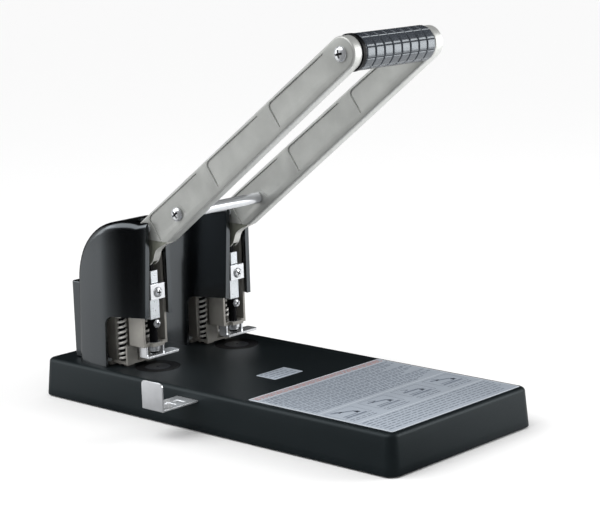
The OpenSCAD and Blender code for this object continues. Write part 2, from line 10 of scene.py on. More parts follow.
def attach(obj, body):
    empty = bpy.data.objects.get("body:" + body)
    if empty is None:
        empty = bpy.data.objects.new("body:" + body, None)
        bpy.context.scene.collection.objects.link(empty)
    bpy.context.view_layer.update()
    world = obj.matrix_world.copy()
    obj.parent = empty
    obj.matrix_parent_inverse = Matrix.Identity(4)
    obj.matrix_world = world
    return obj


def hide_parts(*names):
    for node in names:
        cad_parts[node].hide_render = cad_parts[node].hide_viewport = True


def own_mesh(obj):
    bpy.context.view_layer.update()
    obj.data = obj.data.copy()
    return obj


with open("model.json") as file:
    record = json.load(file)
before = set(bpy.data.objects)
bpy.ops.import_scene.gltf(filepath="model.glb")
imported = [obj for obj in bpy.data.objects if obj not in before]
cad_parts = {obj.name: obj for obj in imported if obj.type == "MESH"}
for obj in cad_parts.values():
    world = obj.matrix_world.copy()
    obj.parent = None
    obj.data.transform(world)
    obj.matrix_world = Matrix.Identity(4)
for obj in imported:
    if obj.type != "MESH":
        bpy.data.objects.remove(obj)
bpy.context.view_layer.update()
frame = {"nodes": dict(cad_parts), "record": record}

MM = 0.001  # every shape below is written in millimetres
SIDES = {"left": -1, "right": 1}

# Sizes and places that the looks share with the CAD part, in its frame. A pair is (y, z).
HEAD_X = 40.0  # distance of each head from the middle
TOP_Z = 28.0  # top of the base
PUNCH_Y = 81.5
DISC_Y = 78.5
GRIP_AXIS = (-106.655, 257.450)
TIE_AXIS = (47.1, 141.3)
FULCRUM = (97.093, 102.7)
LINK_TOP = (81.869, 107.5)
ARM_ANGLE = math.radians(37.07)  # how steeply the raised arms climb
ARM_WEB_X, ARM_EDGE_X = -4.4, 3.6  # an arm's web and its flanges' edges, from the middle of its head
ARM_SHEET = 1.6
SPRING_X, SPRING_Y = 11.5, 101.5  # a spring's axis, from the middle of its head
SPRING_Z = (31.4, 74.3)


# ---------------------------------------------------------------- materials

class Nodes:
    """A short way to write a node tree."""

    def __init__(self, tree):
        self.tree = tree
        tree.nodes.clear()

    def add(self, kind, inputs=None, **settings):
        node = self.tree.nodes.new(kind)
        for key, value in settings.items():
            setattr(node, key, value)
        for key, value in (inputs or {}).items():
            if isinstance(value, bpy.types.NodeSocket):
                self.tree.links.new(value, node.inputs[key])
            else:
                node.inputs[key].default_value = value
        return node


def rgba(colour):
    return (*colour, 1.0)


def noise(n, where, scale, detail=3.0, rough=0.55, stretch=None):
    """A noise field in the part's metres. stretch draws it out along one axis."""
    vector = where
    if stretch:
        vector = n.add("ShaderNodeMapping", {"Vector": where, "Scale": stretch}).outputs["Vector"]
    node = n.add("ShaderNodeTexNoise",
                 {"Vector": vector, "Scale": scale, "Detail": detail, "Roughness": rough})
    return node.outputs["Fac"]


def spread(n, value, low, high, start=0.3, end=0.7):
    """Maps start to end onto low to high. The start and end given here hold most of a noise field."""
    node = n.add("ShaderNodeMapRange", {"Value": value, "From Min": start, "From Max": end,
                                        "To Min": low, "To Max": high})
    return node.outputs["Result"]


def blend(n, factor, first, second):
    """Mixes two colours, each a socket or plain (r, g, b)."""
    sockets = {"Factor": factor}
    # a Mix node has sockets for each data type, so its two colours are set by index
    for index, colour in ((6, first), (7, second)):
        sockets[index] = colour if isinstance(colour, bpy.types.NodeSocket) else rgba(colour)
    return n.add("ShaderNodeMix", sockets, data_type="RGBA").outputs[2]


def material(name, colour, worn, rough, metallic=0.0, grain=900.0, bump=0.05, blotch=60.0, stretch=None,
             specular=0.5, tint=(1.0, 1.0, 1.0), ior=1.5, coat=0.0, coat_rough=0.1, wear=0.0, sides=None):
    """One finish: blotches between two colours, uneven roughness, a fine grain and edges rubbed paler.

    sides is painted light and shade: another colour for the faces that look along X, so that they and the
    faces turned away from X look differently lit.
    """
    made = bpy.data.materials.new(name)
    made.use_nodes = True
    n = Nodes(made.node_tree)
    where = n.add("ShaderNodeTexCoord").outputs["Object"]
    patches = spread(n, noise(n, where, blotch), 0.0, 1.0)
    fine = noise(n, where, grain, 4.0, 0.6, stretch)
    shade = blend(n, patches, colour, worn)
    if sides:
        # painted shade: the sides colour in full where a face turns less than about 18 degrees from X
        normal = n.add("ShaderNodeTexCoord").outputs["Normal"]
        across = n.add("ShaderNodeSeparateXYZ", {"Vector": normal}).outputs["X"]
        size = n.add("ShaderNodeMath", {0: across}, operation="ABSOLUTE").outputs["Value"]
        painted_side_shade = blend(n, patches, sides, [c * 0.88 for c in sides])
        shade = blend(n, spread(n, size, 0.0, 1.0, 0.8, 0.95), shade, painted_side_shade)
    if wear:
        # pointiness is 0.5 on a flat face, and higher on an outer edge
        point = n.add("ShaderNodeNewGeometry").outputs["Pointiness"]
        rubbed = [min(1.0, c * 2.2 + 0.08) for c in worn]
        shade = blend(n, spread(n, point, 0.0, wear, 0.52, 0.62), shade, rubbed)
    lumps = n.add("ShaderNodeBump", {"Height": fine, "Strength": bump, "Distance": 0.0004})
    shader = n.add("ShaderNodeBsdfPrincipled", {
        "Base Color": shade, "Roughness": spread(n, fine, *rough), "Normal": lumps.outputs["Normal"],
        "Metallic": metallic, "Specular IOR Level": specular, "Specular Tint": rgba(tint), "IOR": ior,
        "Coat Weight": coat, "Coat Roughness": coat_rough})
    n.add("ShaderNodeOutputMaterial", {"Surface": shader.outputs["BSDF"]})
    return made


# The record's material slots, and a few finishes for details that share a slot.
FINISHES = {
    "base_black": dict(
        name="base_enamel", colour=(0.0070, 0.0100, 0.0118), worn=(0.0088, 0.0122, 0.0142),
        rough=(0.40, 0.52), grain=1500, bump=0.08, blotch=25, specular=0.32, tint=(0.80, 0.95, 1.0),
        wear=0.03),
    "pan_black": dict(
        name="pan_enamel", colour=(0.02, 0.022, 0.023), worn=(0.028, 0.03, 0.031),
        rough=(0.5, 0.65), bump=0.15),
    "foot_rubber": dict(
        name="foot_rubber", colour=(0.02, 0.02, 0.02), worn=(0.03, 0.03, 0.03),
        rough=(0.7, 0.85), bump=0.3, specular=0.3),
    "label_film": dict(
        name="label_film", colour=(0.43, 0.48, 0.545), worn=(0.46, 0.51, 0.575),
        rough=(0.3, 0.4), grain=600, bump=0.02, blotch=20, coat=0.3, coat_rough=0.2),
    "label_ink": dict(
        name="label_ink", colour=(0.13, 0.155, 0.20), worn=(0.20, 0.23, 0.28),
        rough=(0.4, 0.5), bump=0.02, blotch=300),
    "label_edge": dict(
        name="label_edge", colour=(0.64, 0.68, 0.73), worn=(0.68, 0.72, 0.77),
        rough=(0.4, 0.5), bump=0.02, blotch=300),
    "label_red": dict(
        name="label_red", colour=(0.42, 0.16, 0.14), worn=(0.5, 0.26, 0.23),
        rough=(0.4, 0.5), bump=0.02, blotch=300),
    "cover_plastic": dict(
        name="cover_plastic", colour=(0.0004, 0.0006, 0.0010), worn=(0.0007, 0.0010, 0.0014),
        rough=(0.19, 0.23), grain=900, bump=0.006, blotch=30, specular=0.95, tint=(0.86, 0.94, 1.0), ior=1.6,
        wear=0.004),
    "nickel_steel": dict(
        name="nickel_steel", colour=(0.36, 0.35, 0.32), worn=(0.30, 0.29, 0.27),
        metallic=0.35, rough=(0.3, 0.42), bump=0.06, blotch=120, stretch=(1, 1, 0.1)),
    "bright_steel": dict(
        name="bright_steel", colour=(0.86, 0.88, 0.91), worn=(0.78, 0.80, 0.83),
        metallic=0.7, rough=(0.12, 0.22), bump=0.03, blotch=150),
    # painted light and shade: the arm webs, which look along X, take the darker sides colour, and the flanges
    # keep the pale colour
    "arm_steel": dict(
        name="arm_steel", colour=(0.74, 0.75, 0.73), worn=(0.66, 0.67, 0.65), sides=(0.425, 0.435, 0.42),
        metallic=0.6, rough=(0.40, 0.52), grain=1100, bump=0.10, blotch=70),
    # painted light and shade: the lever's sides, which look along X, take the dark sides colour, and its
    # front faces keep the pale colour
    "lever_steel": dict(
        name="lever_steel", colour=(0.72, 0.72, 0.69), worn=(0.60, 0.60, 0.57), sides=(0.23, 0.24, 0.20),
        metallic=0.35, rough=(0.3, 0.42), bump=0.08, blotch=200),
    "spring_steel": dict(
        name="spring_steel", colour=(0.82, 0.81, 0.78), worn=(0.70, 0.69, 0.66),
        metallic=0.3, rough=(0.2, 0.32), bump=0.04, blotch=200),
    "zinc_steel": dict(
        name="zinc_steel", colour=(0.77, 0.81, 0.84), worn=(0.70, 0.74, 0.77),
        metallic=0.6, rough=(0.25, 0.38), bump=0.06, blotch=160),
    "black_oxide": dict(
        name="black_oxide", colour=(0.003, 0.003, 0.004), worn=(0.005, 0.005, 0.006),
        rough=(0.4, 0.55), bump=0.06, specular=0.08, wear=0.04),
    "grip_rubber": dict(
        name="grip_rubber", colour=(0.042, 0.048, 0.058), worn=(0.055, 0.062, 0.074),
        rough=(0.22, 0.3), grain=1300, bump=0.04, blotch=120, specular=0.9, tint=(0.88, 0.95, 1.0), ior=1.6),
    "collar_rubber": dict(
        name="collar_rubber", colour=(0.003, 0.003, 0.004), worn=(0.005, 0.005, 0.006),
        rough=(0.35, 0.5), bump=0.06, specular=0.15),
    "disc_plastic": dict(
        name="disc_plastic", colour=(0.018, 0.021, 0.026), worn=(0.025, 0.028, 0.034),
        rough=(0.45, 0.6), bump=0.2, blotch=300),
}
LOOKS = {look: material(**finish) for look, finish in FINISHES.items()}
SLOT_OF = {part["node"]: part["material_slot"] for part in frame["record"]["subparts"]}
BODY_OF = {node: body for body, nodes in frame["record"]["behaviour"]["bodies"].items() for node in nodes}


# ---------------------------------------------------------------- mesh tools

def piece(name, bm, node=None, body=None, slot=None, look=None, sharp=32.0):
    """Makes one object of a mesh in millimetres, and rides it on its body.

    node is the CAD node that it stands for, which gives its body and slot unless they are given.
    Edges that turn by more than sharp degrees are shaded as edges.
    """
    bm.normal_update()
    for face in bm.faces:
        face.smooth = True
    for edge in bm.edges:
        edge.smooth = len(edge.link_faces) == 2 and edge.calc_face_angle(0.0) < math.radians(sharp)
    bmesh.ops.scale(bm, vec=(MM, MM, MM), verts=bm.verts)
    mesh = bpy.data.meshes.new(name)
    bm.to_mesh(mesh)
    bm.free()
    made = bpy.data.objects.new(name, mesh)
    bpy.context.scene.collection.objects.link(made)
    slot = slot or SLOT_OF[node]
    mesh.materials.append(LOOKS[look or slot])
    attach(made, body or BODY_OF[node])
    if node:
        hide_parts(node)
    return made


def soften(made, width, segments=2, angle=35.0):
    """Rounds an object's sharp edges."""
    bevel = made.modifiers.new("soft_edges", "BEVEL")
    bevel.width = width * MM
    bevel.segments = segments
    bevel.limit_method = "ANGLE"
    bevel.angle_limit = math.radians(angle)
    bevel.harden_normals = True
    bevel.use_clamp_overlap = True
    return made


def cad_copy(node):
    """The CAD node's mesh in millimetres, with its flat faces whole again."""
    bm = bmesh.new()
    bm.from_mesh(frame["nodes"][node].data)
    bmesh.ops.scale(bm, vec=(1 / MM,) * 3, verts=bm.verts)
    bmesh.ops.remove_doubles(bm, verts=bm.verts, dist=0.001)
    bmesh.ops.dissolve_limit(bm, angle_limit=math.radians(0.6), verts=bm.verts, edges=bm.edges)
    return bm


def rounded_node(node, width):
    """A CAD node with the small edge rounding that the real piece has."""
    return soften(piece(node + "_part", cad_copy(node), node=node), width)


def join(bm, other, matrix=None):
    """Adds a copy of one mesh to another."""
    extra = bpy.data.meshes.new("extra")
    other.to_mesh(extra)
    if matrix:
        extra.transform(matrix)
    bm.from_mesh(extra)
    bpy.data.meshes.remove(extra)


def loft(rings, cap=True):
    """Skins closed rings of equal point counts. cap closes both ends."""
    bm = bmesh.new()
    rows = [[bm.verts.new(p) for p in ring] for ring in rings]
    count = len(rings[0])
    for a, b in zip(rows, rows[1:]):
        for i in range(count):
            j = (i + 1) % count
            bm.faces.new((a[i], a[j], b[j], b[i]))
    if cap:
        bm.faces.new(list(reversed(rows[0])))
        bm.faces.new(rows[-1])
    bmesh.ops.recalc_face_normals(bm, faces=bm.faces)
    return bm


def lathe(profile, steps):
    """Turns (radius, height) points about Z."""
    turns = [2 * math.pi * i / steps for i in range(steps)]
    return loft([[(r * math.cos(a), r * math.sin(a), z) for a in turns] for r, z in profile])


def prism(outline, low, high, axis="x"):
    """Extrudes a flat outline: (y, z) along x, or (x, y) along z."""
    def place(a, b, t):
        return (t, a, b) if axis == "x" else (a, b, t)
    return loft([[place(a, b, low) for a, b in outline], [place(a, b, high) for a, b in outline]])


def box(low, high):
    """A box between two corners."""
    return prism([(low[0], low[1]), (high[0], low[1]), (high[0], high[1]), (low[0], high[1])],
                 low[2], high[2], axis="z")


def arc(centre, radius, start, end, steps):
    """Points on an arc, in degrees."""
    return [(centre[0] + radius * math.cos(math.radians(start + (end - start) * i / steps)),
             centre[1] + radius * math.sin(math.radians(start + (end - start) * i / steps)))
            for i in range(steps + 1)]


def disc(centre, radius, steps):
    """A round outline."""
    return arc(centre, radius, 0, 360 - 360 / steps, steps - 1)


def carve(bm, cutters):
    """Cuts meshes out of a mesh and returns the result. All are in millimetres."""
    def temporary(source, name):
        mesh = bpy.data.meshes.new(name)
        source.to_mesh(mesh)
        made = bpy.data.objects.new(name, mesh)
        bpy.context.scene.collection.objects.link(made)
        return made
    target = temporary(bm, "carve_target")
    tools = [temporary(cutter, "carve_tool") for cutter in cutters]
    for tool in tools:
        cut = target.modifiers.new("cut", "BOOLEAN")
        cut.object = tool
        cut.operation = "DIFFERENCE"
        cut.solver = "EXACT"
    bpy.context.view_layer.update()
    shaped = target.evaluated_get(bpy.context.evaluated_depsgraph_get())
    result = bmesh.new()
    result.from_mesh(shaped.to_mesh())
    for made in [target] + tools:
        mesh = made.data
        bpy.data.objects.remove(made)
        bpy.data.meshes.remove(mesh)
    for used in [bm] + cutters:
        used.free()
    bmesh.ops.remove_doubles(result, verts=result.verts, dist=0.0005)
    return result


def arm_point(run, drop):
    """(y, z) of a point on the raised arms: run from the grip, drop below the axis."""
    c, s = math.cos(ARM_ANGLE), math.sin(ARM_ANGLE)
    return (GRIP_AXIS[0] + run * c - drop * s, GRIP_AXIS[1] - run * s - drop * c)


# ---------------------------------------------------------------- base and labels

def rounded_rectangle(half_x, half_y, radius, steps, centre=(0.0, 0.0)):
    """A rectangle's outline, with steps edges round each corner."""
    points = []
    for sx, sy, start in ((1, 1, 0), (-1, 1, 90), (-1, -1, 180), (1, -1, 270)):
        corner = (centre[0] + sx * (half_x - radius), centre[1] + sy * (half_y - radius))
        points += arc(corner, radius, start, start + 90, steps)
    return points


def base_housing():
    """The base's shell: leaning walls, a round upper edge, and holes for the discs and the gauge."""
    half_x, half_y, radius, low = 73.5, 166.5, 8.5, 1.0
    lean, fillet, wall = 2.5, 2.8, 3.0
    height = TOP_Z - low

    def ring(z, inset):
        inset += lean * (z - low) / height
        corner = max(1.0, radius - inset * 0.9)
        return [(x, y, z) for x, y in rounded_rectangle(half_x - inset, half_y - inset, corner, 10)]
    # the skin runs from the inner roof, down the inside, round the rim and up the outside
    skin = [ring(TOP_Z - wall, wall), ring(low, wall)]
    skin += [ring(low, 0.5), ring(low + 0.15, 0.15), ring(low + 0.6, 0.0)]
    skin += [ring(low + (height - fillet) * t, 0.0) for t in (0.25, 0.5, 0.75)]
    for i in range(9):
        a = math.radians(90 * i / 8)
        skin.append(ring(TOP_Z - fillet + fillet * math.sin(a), fillet * (1 - math.cos(a))))
    gauge_slot = box((-76, 5.7, 20.5), (-66, 26.3, 22.3))
    cutters = [gauge_slot]
    for s in SIDES.values():
        centre = (s * HEAD_X, DISC_Y)
        cutters.append(prism(disc(centre, 16.25, 72), TOP_Z - 1.0, TOP_Z + 1, axis="z"))
        cutters.append(prism(disc(centre, 11.0, 48), 20, TOP_Z + 1, axis="z"))
    return piece("base_shell", carve(loft(skin), cutters), node="base_housing", sharp=40)


def label_sheet(name, node, size, centre, radius):
    """A thin sheet on the base's top, with a slightly rubbed upper edge."""
    low, high, rub, rub_high = TOP_Z, TOP_Z + 0.18, 0.12, 0.06
    outline = rounded_rectangle(size[0] / 2, size[1] / 2, radius, 5, centre)
    shrunk = rounded_rectangle(size[0] / 2 - rub, size[1] / 2 - rub, radius, 5, centre)
    bm = loft([[(x, y, low) for x, y in outline], [(x, y, high - rub_high) for x, y in outline],
               [(x, y, high) for x, y in shrunk]])
    return piece(name, bm, node=node, sharp=60)


def patch(bm, x0, x1, y0, y1, z):
    """A flat printed patch on a label."""
    corners = [bm.verts.new(p) for p in ((x0, y0, z), (x1, y0, z), (x1, y1, z), (x0, y1, z))]
    bm.faces.new(corners)


def stroke(bm, points, width, z):
    """A printed line through flat points."""
    for (x0, y0), (x1, y1) in zip(points, points[1:]):
        length = math.hypot(x1 - x0, y1 - y0) or 1.0
        nx, ny = -(y1 - y0) / length * width / 2, (x1 - x0) / length * width / 2
        bm.faces.new([bm.verts.new(p) for p in ((x0 - nx, y0 - ny, z), (x1 - nx, y1 - ny, z),
                                                (x1 + nx, y1 + ny, z), (x0 + nx, y0 + ny, z))])


def broken_row(bm, rng, x0, x1, y, height, z):
    """A row of short dashes, like printed matter seen from too far to read."""
    x = x0
    while x < x1 - 1.5:
        length = min(rng.uniform(1.6, 6.5), x1 - x)
        patch(bm, x, x + length, y - height / 2, y + height / 2, z)
        x += length + rng.uniform(0.7, 1.5)


def diagram(bm, rng, x, y, lift, z):
    """A small framed drawing of a lever over a sheet, with an arrow and two rows below it."""
    left, right, low, high = x - 13, x + 13, y - 7, y + 11
    stroke(bm, [(left, low), (right, low), (right, high), (left, high), (left, low)], 0.35, z)
    stroke(bm, [(x - 10, y - 5.5), (x + 10, y - 5.5)], 1.6, z)
    stroke(bm, [(x - 10, y - 3.0), (x + 4, y - 3.0)], 1.0, z)
    stroke(bm, [(x + 4, y - 1.0), (x + 8, y - 1.0)], 3.2, z)
    stroke(bm, [(x + 6, y - 2), (x + 6, y + 2), (x - 9, y + 1.5 + lift)], 1.9, z)
    stroke(bm, [(x - 5, y + 9), (x - 1, y + 6), (x - 5.4, y + 5)], 0.9, z)
    for step in range(2):
        broken_row(bm, rng, x - 12, x + 11, y - 10.5 - step * 2.8, 0.9, z)


def label_print():
    """Rows of dashes, thin rules and four small diagrams, with no lettering."""
    rng = random.Random(7)
    z = TOP_Z + 0.2
    frame_left, frame_right, frame_low, frame_high = -65.5, 66.4, -159.7, -36.3
    left, right = -64.0, 65.4  # the rules
    row_left, row_right = -63.0, 64.6  # the rows of dashes
    dark, red, edge, small = bmesh.new(), bmesh.new(), bmesh.new(), bmesh.new()
    stroke(edge, [(frame_left, frame_low), (frame_right, frame_low), (frame_right, frame_high),
                  (frame_left, frame_high), (frame_left, frame_low - 0.4)], 0.8, z)
    patch(red, left, right, -37.9, -37.3, z)
    for y in (-39.6, -41.8):
        broken_row(red, rng, row_left, row_right, y, 1.1, z)
    patch(edge, left, right, -43.6, -43.1, z)
    for row in range(9):
        y = -46.4 - row * 5.5
        end = (row_right, row_right, 50.0)[row % 3]
        broken_row(dark, rng, row_left, end, y, 1.2, z)
        broken_row(dark, rng, row_left + 1.5, end - 6, y - 2.3, 1.0, z)
    patch(edge, left, right, -97.2, -96.7, z)
    for i, lift in enumerate((7.5, 4.5, 1.5, 5.5)):
        diagram(dark, rng, -50.0 + i * 33.2, -111.5, lift, z)
    patch(edge, left, right, -130.2, -129.7, z)
    for row in range(7):
        y = -133.0 - row * 3.6
        broken_row(dark, rng, row_left + 0.5, row_right if row < 5 else 58.0, y, 1.1, z)
    for row in range(4):
        broken_row(small, rng, -15.8, 8.2, 0.5 - row * 4.2, 1.3, z)
    for name, bm, look in (("label_print_dark", dark, "label_ink"), ("label_print_red", red, "label_red"),
                           ("label_print_edge", edge, "label_edge"), ("note_print", small, "label_ink")):
        piece(name, bm, body="base", slot="label_film", look=look)


# ---------------------------------------------------------------- covers

# (y, half width at the foot): a cover swells from its open front and draws in to the rear
COVER_PLAN = [(60.0, 12.4), (70.0, 13.0), (75.3, 14.0), (85.0, 17.9), (95.0, 22.0), (105.5, 25.0),
              (115.0, 25.3), (123.0, 25.0), (131.0, 24.2), (138.0, 23.2)]
COVER_ARC = (92.0, 88.0, 45.3)  # the roof's rear arc: centre y and z, and radius
COVER_SLOPE = 14  # degrees that the roof climbs towards the front
COVER_LEAN = {-1: 0.038, 1: 0.014}  # how far the left and right walls lean in, for each unit of height


def cover_half_width(y):
    """Half width of a cover at its foot, on a smooth curve through the plan."""
    knots = COVER_PLAN
    y = min(max(y, knots[0][0]), knots[-1][0])
    for k in range(len(knots) - 1):
        (y0, w0), (y1, w1) = knots[k], knots[k + 1]
        if y0 <= y <= y1:
            before = knots[max(k - 1, 0)]
            after = knots[min(k + 2, len(knots) - 1)]
            m0 = (w1 - before[1]) / (y1 - before[0])
            m1 = (after[1] - w0) / (after[0] - y0)
            h, t = y1 - y0, (y - y0) / (y1 - y0)
            return ((2 * t ** 3 - 3 * t ** 2 + 1) * w0 + (t ** 3 - 2 * t ** 2 + t) * h * m0
                    + (3 * t ** 2 - 2 * t ** 3) * w1 + (t ** 3 - t ** 2) * h * m1)
    return knots[-1][1]


def cover_profile(inset):
    """Points (y, z) and outward directions along the roof, from the front to the top of the rear wall."""
    arc_y, arc_z, arc_r = COVER_ARC
    arc_r -= inset
    slope = math.radians(COVER_SLOPE)
    front = 64.0 if inset else 70.0
    y_join, z_join = arc_y - arc_r * math.sin(slope), arc_z + arc_r * math.cos(slope)
    profile = []
    for i in range(6):
        y = front + (y_join - front) * i / 6
        profile.append(((y, z_join + (y_join - y) * math.tan(slope)), (-math.sin(slope), math.cos(slope))))
    for i in range(25):
        a = math.radians(-COVER_SLOPE + (90 + COVER_SLOPE) * i / 24)
        out = (math.sin(a), math.cos(a))
        profile.append(((arc_y + arc_r * out[0], arc_z + arc_r * out[1]), out))
    return profile


def cover_section(point, normal, inset, shoulder):
    """A row of points across the roof, and the half width, y and z where its round shoulders end."""
    round_steps, flat_steps = 7, 8
    end_y, end_z = point[0] - shoulder * normal[0], point[1] - shoulder * normal[1]
    width = cover_half_width(end_y) - inset
    rise = max(end_z - TOP_Z, 0.0)
    left, right = -width + COVER_LEAN[-1] * rise, width - COVER_LEAN[1] * rise

    def on_shoulder(i):
        a = math.radians(90 * i / round_steps)
        drop = shoulder * (1 - math.sin(a))
        return shoulder * (1 - math.cos(a)), point[0] - drop * normal[0], point[1] - drop * normal[1]
    row = []
    for i in range(round_steps + 1):
        aside, y, z = on_shoulder(i)
        row.append((left + aside, y, z))
    for i in range(1, flat_steps):
        row.append((left + shoulder + (right - left - 2 * shoulder) * i / flat_steps, *point))
    for i in range(round_steps, -1, -1):
        aside, y, z = on_shoulder(i)
        row.append((right - aside, y, z))
    return row, width, end_y, end_z


def cover_skin(inset, shoulder):
    """A cover's closed skin, drawn in by an inset: a round-shouldered roof over nearly upright walls."""
    levels = 10  # faces down each wall
    z_low = TOP_Z - (2 if inset else 0)
    profile = cover_profile(inset)
    sections = [cover_section(point, normal, inset, shoulder) for point, normal in profile]
    bm = bmesh.new()
    shared = {}

    def vert(p):
        key = tuple(round(c, 4) for c in p)
        if key not in shared:
            shared[key] = bm.verts.new(p)
        return shared[key]

    def skin(rows):
        for a, b in zip(rows, rows[1:]):
            for i in range(len(a) - 1):
                corners = list(dict.fromkeys((a[i], a[i + 1], b[i + 1], b[i])))
                if len(corners) > 2 and bm.faces.get(corners) is None:
                    bm.faces.new(corners)

    def wall_column(side, width, y, z_top):
        column = []
        for k in range(levels + 1):
            z = z_top + (z_low - z_top) * k / levels
            lean = COVER_LEAN[side] * max(z - TOP_Z, 0.0)
            column.append(vert((side * (width - lean), y, z)))
        return column

    roof = [[vert(p) for p in row] for row, *_ in sections]
    left_walls, right_walls = [[wall_column(side, *end) for _, *end in sections] for side in (-1, 1)]
    skin(roof)
    skin(left_walls)
    skin(right_walls)
    (rear_y, rear_z), rear_normal = profile[-1]
    rear = [roof[-1]]
    for k in range(1, levels + 1):
        z = rear_z + (z_low - rear_z) * k / levels
        rear.append([vert(p) for p in cover_section((rear_y, z), rear_normal, inset, shoulder)[0]])
    skin(rear)
    bm.faces.new([w[-1] for w in left_walls] + rear[-1][1:-1] + [w[-1] for w in right_walls[::-1]])
    bm.faces.new(left_walls[0][::-1] + roof[0][1:-1] + right_walls[0])
    bmesh.ops.recalc_face_normals(bm, faces=bm.faces)
    return bm


def window_outline():
    """Side view of the opening over the springs, with its round upper rear corner."""
    rear_y, head_z, corner = 105.5, 65.3, 6.0
    return ([(55, TOP_Z - 3), (rear_y, TOP_Z - 3)]
            + arc((rear_y - corner, head_z - corner), corner, 0, 90, 8) + [(55, head_z)])


def slot_outline():
    """Plan of the slot that the raised arm stands in, round at its rear end."""
    half = 7.0
    return [(-half, 50), (half, 50)] + arc((0, 84.0), half, 0, 180, 14)


def cover(side):
    """A cover: hollow behind its front wall, with a mouth for the punch, a slot above and a window below."""
    hollow = carve(cover_skin(1.9, 4.8), [box((-40, 40, 20), (40, 79.5, 170))])
    mouth = cover_skin(3.7, 3.2)
    arm_slot = prism(slot_outline(), 112, 170, axis="z")
    window = prism(window_outline(), -40, 40)
    # trims the front to its nearly upright edge
    front = prism([(40, 20), (75.8, 20), (75.5, 62), (74.2, 118), (73.6, 170), (40, 170)], -40, 40)
    bm = carve(cover_skin(0.0, 6.5), [hollow, mouth, arm_slot, window, front])
    bmesh.ops.translate(bm, vec=(SIDES[side] * HEAD_X, 0, 0), verts=bm.verts)
    made = piece("cover_shell_" + side, bm, node="cover_" + side, sharp=38)
    return soften(made, 0.6, 3, 50)


# ---------------------------------------------------------------- handle

def arm_outline(inset):
    """Outline of an arm, drawn in by an inset: a round upper end and a level foot."""
    foot_z, round_r, steps = 120.3, 11.2, 14

    def top(run):
        return -(round_r + 4.8 * run / 250) + inset

    def low(run):
        return round_r - 1.0 * run / 250 - inset

    def foot_on(edge):
        """Where an edge of the arm meets the level foot, found by halving."""
        above, below = 150.0, 260.0
        for _ in range(40):
            middle = (above + below) / 2
            if arm_point(middle, edge(middle))[1] > foot_z:
                above = middle
            else:
                below = middle
        return arm_point(above, edge(above))
    points = [foot_on(low)]
    points += [arm_point(run, low(run)) for run in (150, 100, 50)]
    for i in range(steps + 1):
        a = math.pi * i / steps
        points.append(arm_point(-(round_r - inset) * math.sin(a), (round_r - inset) * math.cos(a)))
    points += [arm_point(run, top(run)) for run in (50, 100, 150)]
    points.append(foot_on(top))
    return points


def groove(path, width, x0, x1):
    """A narrow cutter along a path in arm coordinates, pointed at both ends."""
    left, right = [], []
    for i, (a, b) in enumerate(path):
        before, after = path[max(i - 1, 0)], path[min(i + 1, len(path) - 1)]
        dx, dy = after[0] - before[0], after[1] - before[1]
        length = math.hypot(dx, dy)
        half = width / 2 if 0 < i < len(path) - 1 else width * 0.35
        left.append((a - dy / length * half, b + dx / length * half))
        right.append((a + dy / length * half, b - dx / length * half))
    outline = [arm_point(*p) for p in left + right[::-1]]
    return prism(outline, x0, x1)


def panel_cutters(x):
    """The pressed panels: a step along the top and the lower left, which fades out to the right and below."""
    cutters = []
    low, corner_r, deep, ramp, clear = 7.4, 3.0, 0.45, 5.0, -0.3
    for start, end in ((10.7, 72.7), (83.4, 146.0), (156.4, 219.0)):
        top = -8.4 - start / 48
        top_end = top - (end - start) / 40
        # the outline runs from the upper right, round the upper left corner at the head's end
        corner = [(end - corner_r + corner_r * math.sin(math.radians(90 * k / 6)),
                   top_end + corner_r - corner_r * math.cos(math.radians(90 * k / 6))) for k in range(7)]
        ring = [(start, low)] + [(start, top)] + corner + [(end, low)]
        depth = [clear, clear] + [deep] * len(corner) + [clear]
        inner = [(start + 14, low - ramp), (start + 14, top + 0.2)] + corner + [(end, low - ramp)]
        outside = [(x - 1.5, *arm_point(*p)) for p in ring]
        edge = [(x + d, *arm_point(*p)) for p, d in zip(ring, depth)]
        floor = [(x + deep, *arm_point(*p)) for p in inner]
        cutters.append(loft([outside, edge, floor]))
        # a fine groove that marks the step
        path = [(start + 2, top + 0.1)] + corner + [(end, low - 0.6)]
        cutters.append(groove(path, 1.25, x - 1.0, x + 1.1))
    return cutters


def arm(side):
    """An arm: a pressed channel, with its web on the left and its flanges turned to the right."""
    x0, x1 = SIDES[side] * HEAD_X + ARM_WEB_X, SIDES[side] * HEAD_X + ARM_EDGE_X
    sheet, bend, rub = ARM_SHEET, 1.6, 0.3

    def ring(x, inset):
        return [(x, y, z) for y, z in arm_outline(inset)]
    rings = []
    for i in range(4, -1, -1):
        a = math.radians(90 * i / 4)
        rings.append(ring(x0 + bend * (1 - math.sin(a)), bend * (1 - math.cos(a))))
    rings += [ring(x1 - rub, 0.0), ring(x1, rub), ring(x1, sheet - rub), ring(x1 - rub, sheet),
              ring(x0 + sheet + 0.6, sheet), ring(x0 + sheet, sheet + 0.6)]
    foot = prism([(52, 100), (115, 100), (115, 122.6), (52, 122.6)], x0 + sheet, x1 + 2)
    holes = [prism(disc(axis, 2.6, 24), x0 - 2, x0 + 3) for axis in (GRIP_AXIS, TIE_AXIS)]
    mark = groove([(184.6, 4.2), (187.2, -4.2)], 0.5, x0 - 1, x0 + 0.8)
    bm = carve(loft(rings), panel_cutters(x0) + [foot, mark] + holes)
    return piece("arm_pressing_" + side, bm, node="arm_" + side, sharp=24)


